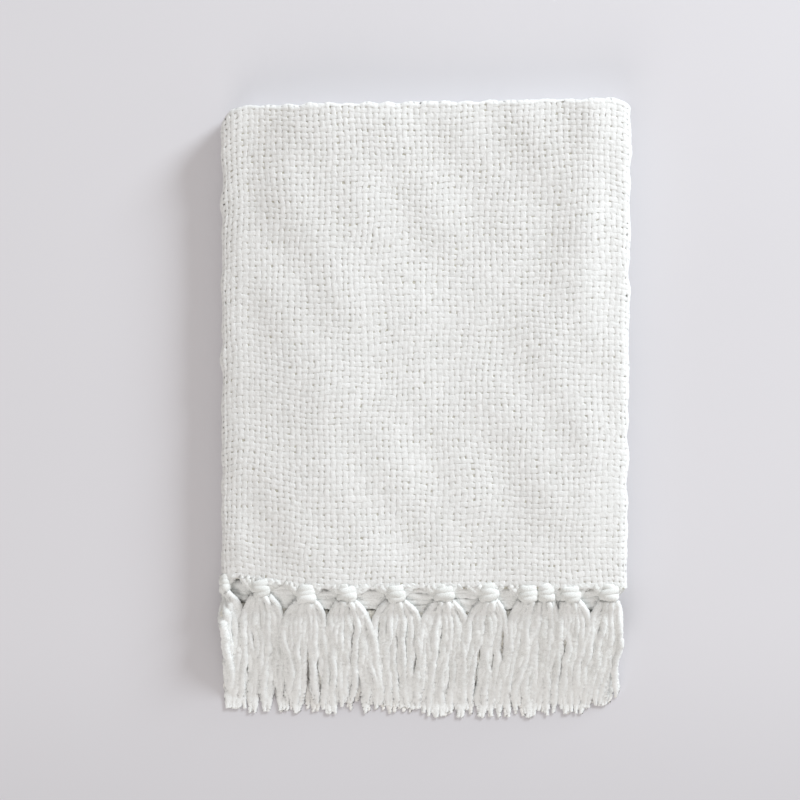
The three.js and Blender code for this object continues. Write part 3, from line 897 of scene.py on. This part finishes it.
print("halfway up a smooth step:", smoothstep(0.5, 0, 1))

# %% Plied yarn maker
PLY_TURN = 12.0
PLY_LUMPS = 0.08
LOBES = np.array([1.06, 0.94, 1.06, 0.94, 1.06, 0.94])
# Shares of the size across and up, and the direction that the pile of the fringe faces
FLATTENED = (1.24, 0.52)
FLUFF_LIE = (0.12, 0.4, 0.91)


def plied_yarn(path, size, tone, flat=1.0):
    """A part of three-ply yarns along path[yarn, point, xyz], size[yarn, point] thick from the middle."""
    count, points, _ = path.shape
    turn = 2 * np.pi * (path_lengths(path) / PLY_TURN + rng.uniform(0, 1, (count, 1)))
    lumps = 1 + PLY_LUMPS * rng.standard_normal((count, points, len(LOBES)))
    stretch = (FLATTENED[0], FLATTENED[1] * np.broadcast_to(flat, size.shape)[..., None])
    rings = tube_rings(path, size[..., None] * LOBES * lumps, turn, stretch)
    return tube_part(rings, np.clip(tone, 0, 1), FLUFF_LIE)


print("one ply turn, mm:", PLY_TURN)

# %% [markdown]
# ## Strands
# Each strand leaves its knot sideways, bulges out within a few centimetres, and then hangs beside its
# neighbours. All of them lie on one pile that slopes from the knots down to the floor: the upper strands
# of the top row on its face, their other halves between and under them, then the two hidden rows. Hidden
# strands are shorter, so the pile thins out, and the tips rest on one another in layers. The strands
# wander, cross a little, and lean left on the right side.

# %% Strand kinds
# Thickness from the middle, step along it, depth under the pile's face, share of the length, how high
# its tip rests on the tips below, and how far its root is let down in the knot
STRAND_KINDS = {
    "top": (3.1, 1.6, 0.0, 1.0, 0.5, 0.5),
    "side": (3.1, 1.7, 0.5, 1.0, 0.5, 0.5),
    "under": (3.4, 2.0, 0.8, 1.0, 0.3, 4.0),
    "middle": (3.2, 2.6, 3.6, 0.985, 0.15, 0.5),
    "bottom": (3.0, 3.0, 7.0, 0.97, 0.0, 0.5),
}
# Share of a tassel's strands that lies on the face of the pile, and how far those tips stray
ON_TOP, TIP_STRAY = 0.85, 2
# The roots in the knot: how deep, how far in from its sides, how high and how bent their arch, and by turns
ROOT_DEPTH, ROOT_INSET, ROOT_ARCH, ROOT_BEND, ROOT_BY_TURNS = 0.9, 2.0, 3.5, 1.3, 0.7
# How ragged the tips are, and how that goes from tassel to tassel and from strand to strand
RAGGED, BY_TASSEL, BY_STRAND, BY_BOTH = 7.0, 2.3, 4.1, 0.7
# The fringe is longest right of its middle and shortest at its right end
LONGER, LONGER_AT, LONGER_REACH = 5, 70, 100
SHORTER, SHORTER_FROM, SHORTER_TO = 7, 150, 200


def ragged(number, strand):
    return RAGGED * np.sin(BY_TASSEL * number + BY_STRAND * strand + BY_BOTH * number * strand)


def longer(tip_x):
    more = LONGER * np.exp(-((tip_x - LONGER_AT) / LONGER_REACH) ** 2)
    return more - SHORTER * smoothstep(tip_x, SHORTER_FROM, SHORTER_TO)


def strand_roots(tassel, count, let_down):
    """Where strands leave the knot: side by side in a low arch, by turns a little higher and lower."""
    strand = np.arange(count)
    spread = 2 * strand / (count - 1) - 1
    root = spread * (tassel["width"] / 2 - ROOT_INSET)
    by_turns = np.where(strand % 2 == 0, ROOT_BY_TURNS, -ROOT_BY_TURNS)
    rise = ROOT_ARCH * np.cos(ROOT_BEND * spread) - let_down + by_turns
    x, _, z = tassel["place"]
    return (x - rise, z + root) if tassel["turned"] else (x + root, z + rise)


print("strand kinds:", list(STRAND_KINDS))

# %% [markdown]
# ## The path of a strand
# Seen from above, a strand goes out to its own place, leans one way by chance and waves slowly. Seen
# from the side, it comes down from the knot no steeper than soft yarn does until it lies on the pile, and
# the pile comes down to the floor. Near the tip it flattens, and no strand goes below those that it rests on.

# %% Strand paths
# The length in which a strand bulges out, how unevenly, and how quickly at first
BULGE, BULGE_UNEVEN, BULGE_POWER = 28.0, (0.7, 1.25), 2.2
# Distances below the knot over which a strand comes free and comes down, and share over which it leans
FREE, COMES_DOWN, LEANS = (6, 34), (0, 14), (0.1, 1)
STRAY_LEAN, MOST_LEAN = 5, 11
# How far the strands lean left, from where to where it grows, and how far inside the fringe's ends tips keep
SWAY, SWAY_FROM, SWAY_TO = 9.0, -60.0, 120.0
TIPS_IN = 7.0
# Height and length of the slow and the quick waves and of the crossings, and what these lose at the tips
SLOW_WAVE, QUICK_WAVE, CROSSING, CROSSING_LOST = (1.5, 24), (0.35, 7), (0.4, 18), 0.6
OVER_BY_TURNS, TIP_BY_TURNS = 0.3, 0.1
# The face of the pile: how far below the top of the cloth it starts, where it ends, and how it falls
PILE_DROP, PILE_TIP, PILE_FALL = 2.5, 0.5, 1.2
STEEPEST, HIDDEN_STEEPER = 0.4, 3


def wavy(height_and_length, shape, step):
    height, length = height_and_length
    return height * smooth_noise(*shape, int(length / step))


def strand_sideways(x0, tip_x, below, reach, step):
    out = below / (BULGE * rng.uniform(*BULGE_UNEVEN, (len(tip_x), 1)))
    out = 1 - (1 - np.clip(out, 0, 1)) ** BULGE_POWER
    lean = np.clip(STRAY_LEAN * rng.standard_normal(len(tip_x)), -MOST_LEAN, MOST_LEAN)
    lean = lean - SWAY * smoothstep(tip_x, SWAY_FROM, SWAY_TO)
    lean = np.clip(tip_x + lean, FRINGE_LEFT + TIPS_IN, FRINGE_RIGHT - TIPS_IN) - tip_x
    wave = wavy(SLOW_WAVE, below.shape, step) + wavy(QUICK_WAVE, below.shape, step)
    straight = x0[:, None] + (tip_x - x0)[:, None] * out
    return straight + lean[:, None] * smoothstep(reach, *LEANS) + smoothstep(below, *FREE) * wave


def strand_heights(z0, tip_x, below, reach, settled, step, depth, steepest):
    strand = np.arange(len(tip_x))
    over = np.where(strand % 2 == 0, OVER_BY_TURNS, -OVER_BY_TURNS)[:, None]
    over = over + wavy(CROSSING, below.shape, step)
    top = hem_point(tip_x, TOP_Z + LAYER_PITCH)[:, 2, None] - PILE_DROP
    pile = top + (PILE_TIP - top) * reach ** PILE_FALL - depth
    pile = pile + smoothstep(below, *FREE) * over * (1 - CROSSING_LOST * settled)
    z = z0[:, None]
    return z + np.minimum(pile - z, steepest * below) * smoothstep(below, *COMES_DOWN)


print("steepest fall of a strand:", STEEPEST)

# %% Strand maker
# How much flatter a strand lies at its tip, how much it flares before it and how far it tapers
TIP_FLATTER, TIP_FLARE, TIP_TAPER = 0.65, 0.12, 0.65
STRAND_LUMPS, ROOT_SIZE, ROOT_MORE = 0.06, 0.8, 0.2
STRAND_TONE, STRAND_TONE_ALONG, STRAND_TONE_APART = 0.85, 0.08, 0.08
TIP_PAINTED_LIGHT, HIDDEN_PAINTED_SHADE = 0.3, 0.4
# Shares of the length over which it settles, flattens, tapers and comes to light, and the distance
# below the knot over which it reaches its full size
SETTLES, FLATTENS, TAPERS, COMES_TO_LIGHT = (0.6, 0.9), (0.6, 0.97), (0.88, 1), (0.35, 0.8)
FULL_SIZE = (4, 34)


def strands_part(tassel, kind):
    radius, step, depth, length, rest, let_down = STRAND_KINDS[kind]
    hidden = tassel["row"] in ("middle", "bottom")
    tip_x = tassel["tips"]
    if kind in ("top", "side"):
        count = round(len(tip_x) * ON_TOP)
        tip_x = np.linspace(tip_x[0], tip_x[-1], count) + rng.uniform(-TIP_STRAY, TIP_STRAY, count)
    strand = np.arange(len(tip_x))
    x0, z0 = strand_roots(tassel, len(tip_x), let_down)
    y0 = tassel["place"][1] - ROOT_DEPTH * KNOT_LENGTH
    tip_y = HEM_Y - FRINGE * length - longer(tip_x) + ragged(tassel["number"], strand)
    steps = int(FRINGE * length / step)
    share = np.arange(steps + 1) / steps
    y = y0 + (tip_y - y0)[:, None] * share
    below = y0 - y
    reach = np.clip(below / (FRINGE - KNOT_LENGTH), 0, 1)
    settled = smoothstep(share, *SETTLES)
    x = strand_sideways(x0, tip_x, below, reach, step)
    steepest = HIDDEN_STEEPER * STEEPEST if hidden else STEEPEST
    z = strand_heights(z0, tip_x, below, reach, settled, step, depth, steepest)
    flat = 1 - TIP_FLATTER * smoothstep(share, *FLATTENS)
    z = np.maximum(z, FLATTENED[1] * radius * flat + rest + TIP_BY_TURNS * (strand % 2)[:, None])
    size = radius * (1 + STRAND_LUMPS * smooth_noise(*below.shape, 3))
    size = size * (1 + TIP_FLARE * settled - TIP_TAPER * smoothstep(share, *TAPERS))
    size = size * (ROOT_SIZE + ROOT_MORE * smoothstep(below, *FULL_SIZE))
    tone = STRAND_TONE + STRAND_TONE_ALONG * smooth_noise(*below.shape, 6)
    # Painted light: strands turn lighter as they settle towards their tips, against the shade on the low
    # fringe
    tone = tone + STRAND_TONE_APART * rng.standard_normal((len(tip_x), 1)) + TIP_PAINTED_LIGHT * settled
    # Painted shade: hidden strands are darker near the knot, under the top row, until they come to light
    if hidden:
        tone = tone - HIDDEN_PAINTED_SHADE * (1 - smoothstep(share, *COMES_TO_LIGHT))
    return plied_yarn(np.stack([x, y, z], axis=-1), size, tone, flat)


print("strand, mm thick:", 2 * STRAND_KINDS["top"][0])

# %% [markdown]
# ## Knots
# The eight ends are tied in one overhand knot right at the hem, which looks like a small turban: a
# rounded core with three thick, soft wraps round it, each tilted another way. A wrap is a flattened tube
# wound round the core, widest in the middle of the knot.

# %% Knot maker
WRAPS, WRAP_POINTS, WRAP_SIDES = 3.0, 18, 8
WRAP_THICK, WRAP_TALL, WRAP_LUMPS = 2.9, 4.4, 0.06
# How far the wraps stand out of the knot's own size, across and up
WRAP_OUT_WIDE, WRAP_OUT_HIGH = 0.9, 1.6
KNOT_START, KNOT_RUN = 3.0, 14.0
# The knot's own form: its neck, how much its belly adds, the part of a half circle that the belly follows,
# and how uneven it is
NECK, BELLY, BELLY_START, BELLY_RUN, KNOT_UNEVEN = 0.62, 0.42, 0.04, 0.72, 0.03
TILT, TILT_TURNS = 1.9, 1.4
# How much thinner a wrap is at its two ends, and the shares of its length that these ends are
WRAP_END, FIRST_END, LAST_END = 0.4, (0, 0.07), (0.93, 1)
# The core: its places along the knot and its size there
CORE_Y = np.array([5.5, 2.0, -6.0, -14.5])
CORE_SIZE = np.array([0.5, 0.9, 1.0, 0.85])
WRAP_TONE, WRAP_TONE_ALONG, CORE_TONE = 0.45, 0.1, 0.5


def knot_part(tassel):
    x, y, z = tassel["place"]
    points = int(WRAPS * WRAP_POINTS) + 1
    share = np.linspace(0, 1, points)
    turn = 2 * np.pi * WRAPS * share + rng.uniform(0, 2 * np.pi)
    bulge = NECK + BELLY * np.sin(np.pi * (BELLY_START + BELLY_RUN * share))
    bulge = bulge + KNOT_UNEVEN * smooth_noise(1, points, 3)[0]
    wide = tassel["width"] / 2 - WRAP_THICK + WRAP_OUT_WIDE
    high = KNOT_HEIGHT / 2 - WRAP_THICK + WRAP_OUT_HIGH
    if tassel["turned"]:
        wide, high = high, wide
    tilt = TILT * np.sin(2 * np.pi * TILT_TURNS * share + rng.uniform(0, 2 * np.pi))
    path = np.stack([
        x + wide * bulge * np.cos(turn),
        y + KNOT_START - KNOT_RUN * share + tilt * np.cos(turn),
        z + high * bulge * np.sin(turn)], axis=-1)[None]
    ends = 1 - WRAP_END * (smoothstep(share, *LAST_END) + 1 - smoothstep(share, *FIRST_END))
    lumps = 1 + WRAP_LUMPS * rng.standard_normal((1, points, WRAP_SIDES))
    size = (WRAP_TALL * ends * (1 + WRAP_LUMPS * smooth_noise(1, points, 2)[0]))[None, :, None] * lumps
    still = np.zeros((1, points))
    wraps = tube_rings(path, size, still, (WRAP_THICK / WRAP_TALL, 1.0), (0.0, 1.0, 0.0))
    core = np.stack(np.broadcast_arrays(x, y + CORE_Y, z), axis=-1)[None]
    core_size = CORE_SIZE[None, :, None] * np.ones(WRAP_SIDES)
    barrel = tube_rings(core, core_size, np.zeros((1, len(CORE_Y))), (wide, high))
    tone = np.clip(WRAP_TONE + WRAP_TONE_ALONG * smooth_noise(1, points, 5), 0, 1)
    return [tube_part(wraps, tone), tube_part(barrel, np.full((1, len(CORE_Y)), CORE_TONE))]


print("wraps to a knot:", WRAPS)

# %% [markdown]
# ## Gathered warp ends
# Between hem and knot the warp ends are pulled sideways, seven or so to a knot. Those from beside the
# knot go straight in, and the others bend over. Each is a curve that leaves the hem squarely and bends
# over into the side of its knot. A warp end goes to the nearest knot of its row.

# %% Gathered end maker
END_POINTS, END_RADIUS, END_LUMPS = 9, 3.0, 0.08
# How far from the hem and how deep in the cloth a warp end starts
END_ALONG, END_IN = 4.0, -0.6
# Where the curve aims: off the hem, inside the knot, and before that at the side of the knot. Each aim keeps
# a share of the way aside, and the first two stray by so much across, along and up
OFF_HEM, OFF_ASIDE, OFF_STRAY = [0, -4.5, 0], 0.3, [1.2, 1.5, 0.6]
INSIDE_KNOT, INSIDE_ASIDE, INSIDE_STRAY = [0, -6.0, -0.5], 0.15, [0.6, 2.0, 0.8]
SIDE_OF_KNOT, SIDE_ASIDE = [0, 1.5, 0.5], 0.45
END_TONE, END_TONE_APART = 0.6, 0.15


def warp_ends(numbers):
    """Hem places of warps: their distance across the cloth and the point where they leave it."""
    across = (np.arange(*numbers) + 0.5) * PITCH
    drifted = across + DRIFT * ripple(DRIFT_WAVES[1], END_ALONG, across)
    return across, on_cloth(np.full_like(across, END_ALONG), drifted, END_IN)


def across_of(tassel):
    if tassel["row"] == "top":
        return outer[1] + RIGHT_ROLL_X - tassel["knot"]
    if tassel["row"] == "side":
        return outer[2] + (SIDE_ANGLE - np.pi / 2) * (LEFT_ROLL + LAYER_PITCH)
    return tassel["knot"] - LEFT_ROLL_X + (outer[3] if tassel["row"] == "bottom" else 0)


def gathered_part(tassel, hem):
    knot = tassel["place"] + INSIDE_KNOT
    aside = (hem - tassel["place"]) * [1, 0, 1]
    count = len(hem)
    leave = hem - aside * OFF_ASIDE + OFF_HEM + rng.uniform(-1, 1, (count, 3)) * OFF_STRAY
    end = knot + aside * INSIDE_ASIDE + rng.uniform(-1, 1, (count, 3)) * INSIDE_STRAY
    enter = end + aside * SIDE_ASIDE + SIDE_OF_KNOT
    t = np.linspace(0, 1, END_POINTS)[None, :, None]
    path = ((1 - t) ** 3 * hem[:, None] + 3 * (1 - t) ** 2 * t * leave[:, None]
            + 3 * (1 - t) * t ** 2 * enter[:, None] + t ** 3 * end[:, None])
    size = END_RADIUS * (1 + END_LUMPS * smooth_noise(count, END_POINTS, 1))
    tone = END_TONE + END_TONE_APART * rng.standard_normal((count, 1)) * np.ones((1, END_POINTS))
    return plied_yarn(path, size, tone)


print("gathered end, mm thick:", 2 * END_RADIUS)

# %% Share the warp ends out
REACH_OF_KNOT = 34.0
WARPS_OF_ROW = {
    "top": (FIRST_WARP, LAST_WARP),
    "middle": LOWER_BANDS[0],
    "bottom": (LAST_WARP, LAST_ACROSS),
}
shared = {}
for group in (("top", "side"), ("middle",), ("bottom",)):
    members = [t for t in tassels if t["row"] in group]
    across, places = warp_ends(WARPS_OF_ROW[group[0]])
    apart = np.abs(across[:, None] - np.array([across_of(t) for t in members])[None, :])
    nearest, near = apart.argmin(axis=1), apart.min(axis=1) < REACH_OF_KNOT
    for k, t in enumerate(members):
        shared[t["node"]] = places[(nearest == k) & near]
print("warp ends to a knot:", {k: len(v) for k, v in shared.items()})

# %% [markdown]
# ## Ropes between the knots
# The ends from halfway between two knots run almost along the hem, like little ropes that hang from knot
# to knot, one below the other, with a dark gap under them. They could be part of the curves above, but a rope
# that is drawn from one knot to the next hangs better.

# %% Rope maker
SWAG_ROPES, SWAG_POINTS, SWAG_PITCH = 6, 22, 3.5
SWAG_START, SWAG_DEEPER = -1.0, 1.1
# Across, along and up: how far the ends stray, which way the ropes sag, by how much, and how they waver
ROPE_END_STRAY, SAG_WAY, SAG, WAVER = [0, 2.2, 0.8], [0, -1, -0.3], (-0.5, 1.5), [0, 1, 0.5]
WAVER_SHARE = 0.5
ROPE_TONE, ROPE_TONE_APART = 0.9, 0.08


def swag_part(left, right):
    """Ropes of gathered ends between two neighbouring knots, one below the other."""
    place = np.arange(SWAG_ROPES)
    down = np.stack([
        np.zeros(SWAG_ROPES), SWAG_START - SWAG_PITCH * place, SWAG_START - SWAG_DEEPER * place], axis=-1)
    ends = [knot + down + rng.uniform(-1, 1, (SWAG_ROPES, 3)) * ROPE_END_STRAY for knot in (left, right)]
    t = np.linspace(0, 1, SWAG_POINTS)[None, :, None]
    path = ends[0][:, None] * (1 - t) + ends[1][:, None] * t
    sag = rng.uniform(*SAG, (SWAG_ROPES, 1, 1)) * SAG_WAY
    waver = WAVER_SHARE * smooth_noise(SWAG_ROPES, SWAG_POINTS, 2)[..., None] * WAVER
    path = path + 4 * t * (1 - t) * sag + waver
    size = END_RADIUS * (1 + END_LUMPS * smooth_noise(SWAG_ROPES, SWAG_POINTS, 1))
    tone = ROPE_TONE + ROPE_TONE_APART * rng.standard_normal((SWAG_ROPES, 1)) * np.ones((1, SWAG_POINTS))
    return plied_yarn(path, size, tone)


print("ropes between two knots:", SWAG_ROPES)

# %% [markdown]
# ## The tassels
# Each tassel is one piece that stands for one solid: its strands, its knot, the warp ends that go into it
# and, in the top row, the ropes from the knot on its left. The top row has a second set of strands
# under the first.

# %% Tassels
for tassel in tassels:
    in_sight = tassel["row"] in ("top", "side")
    kinds = [tassel["row"], "under"] if in_sight else [tassel["row"]]
    parts = [strands_part(tassel, kind) for kind in kinds] + knot_part(tassel)
    if len(shared[tassel["node"]]):
        parts.append(gathered_part(tassel, shared[tassel["node"]]))
    if tassel["row"] == "top":
        # The first in the list has the last one, the side tassel, on its left
        left = tassels[tassels.index(tassel) - 1]
        parts.append(swag_part(left["place"], tassel["place"]))
    # Tassels in sight take the fringe yarn painted lighter, the hidden rows the fringe yarn in painted shade
    yarn = fringe_painted_lighter if in_sight else hidden_fringe_painted_shade
    piece = make_piece("knotted_" + tassel["node"], parts, yarn)
    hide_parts(tassel["node"])
